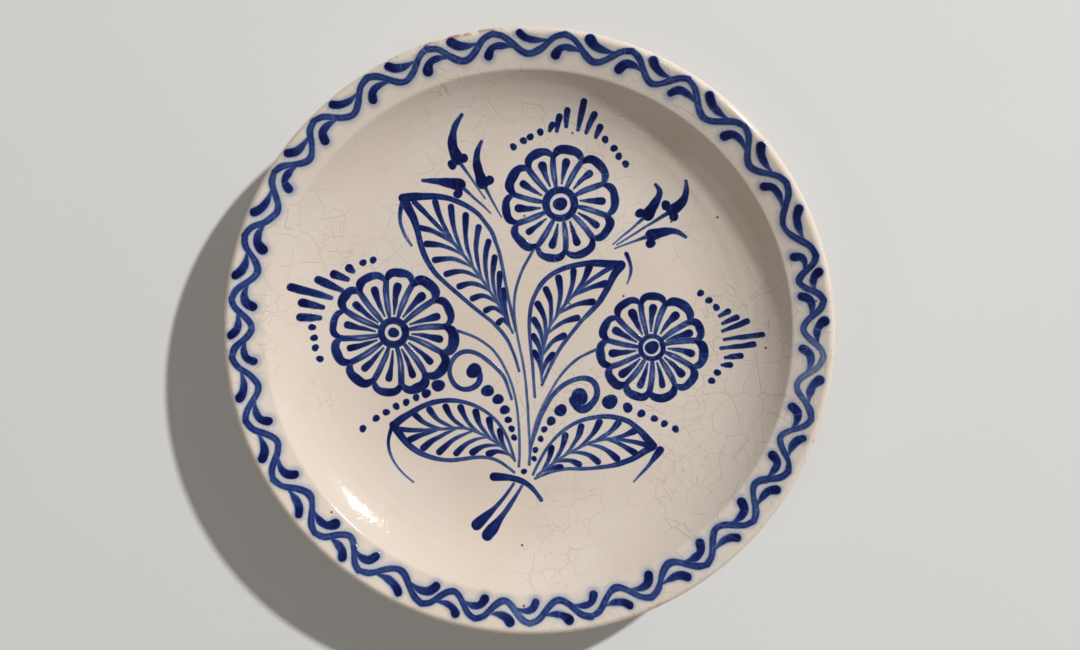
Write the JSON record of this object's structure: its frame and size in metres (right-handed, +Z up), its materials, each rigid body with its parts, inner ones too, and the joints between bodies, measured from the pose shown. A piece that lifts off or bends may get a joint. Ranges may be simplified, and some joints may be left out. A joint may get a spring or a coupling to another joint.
{
  "type": "decorative plate",
  "caption": "Round glazed earthenware plate: flat floor, deep cove, sloping flange and foot ring, hand painted in cobalt with a wavy vine border and a tied bouquet of flowers.",
  "frame": {"origin": "centre of the foot ring's rest face", "axes": "+Z up along the plate's axis, out of the well; +Y towards the top flower, -Y towards the cut stem ends"},
  "size_m": [0.3, 0.3, 0.0379],
  "materials": {
    "clay": "bare fired earthenware, covered by glaze except at wear",
    "foot_clay": "bare turned earthenware, worn on the rest face",
    "face_glaze": "glossy warm off-white glaze with fine crazing, pinholes and lip wear",
    "back_glaze": "glossy off-white glaze over throwing rings",
    "border_cobalt": "glossy cobalt brushwork, softly bled at its edges",
    "bouquet_cobalt": "glossy cobalt brushwork, dark in the pools and pale in thin strokes"
  },
  "bodies": {
    "root": {"clay_body": "clay", "foot_ring": "foot_clay", "face_glaze": "face_glaze", "back_glaze": "back_glaze", "base_glaze": "back_glaze", "rim_vine": "border_cobalt", "rim_outer_leaves": "border_cobalt", "rim_inner_leaves": "border_cobalt", "flower_top": "bouquet_cobalt", "flower_left": "bouquet_cobalt", "flower_right": "bouquet_cobalt", "leaf_upper_left": "bouquet_cobalt", "leaf_upper_right": "bouquet_cobalt", "leaf_lower_left": "bouquet_cobalt", "leaf_lower_right": "bouquet_cobalt", "stems": "bouquet_cobalt", "stem_tie": "bouquet_cobalt", "scroll_left": "bouquet_cobalt", "scroll_right": "bouquet_cobalt", "dots_left": "bouquet_cobalt", "dots_right": "bouquet_cobalt", "crest_top": "bouquet_cobalt", "crest_left": "bouquet_cobalt", "crest_right": "bouquet_cobalt", "bud_spray_left": "bouquet_cobalt", "bud_spray_right": "bouquet_cobalt"}
  },
  "joints": []
}
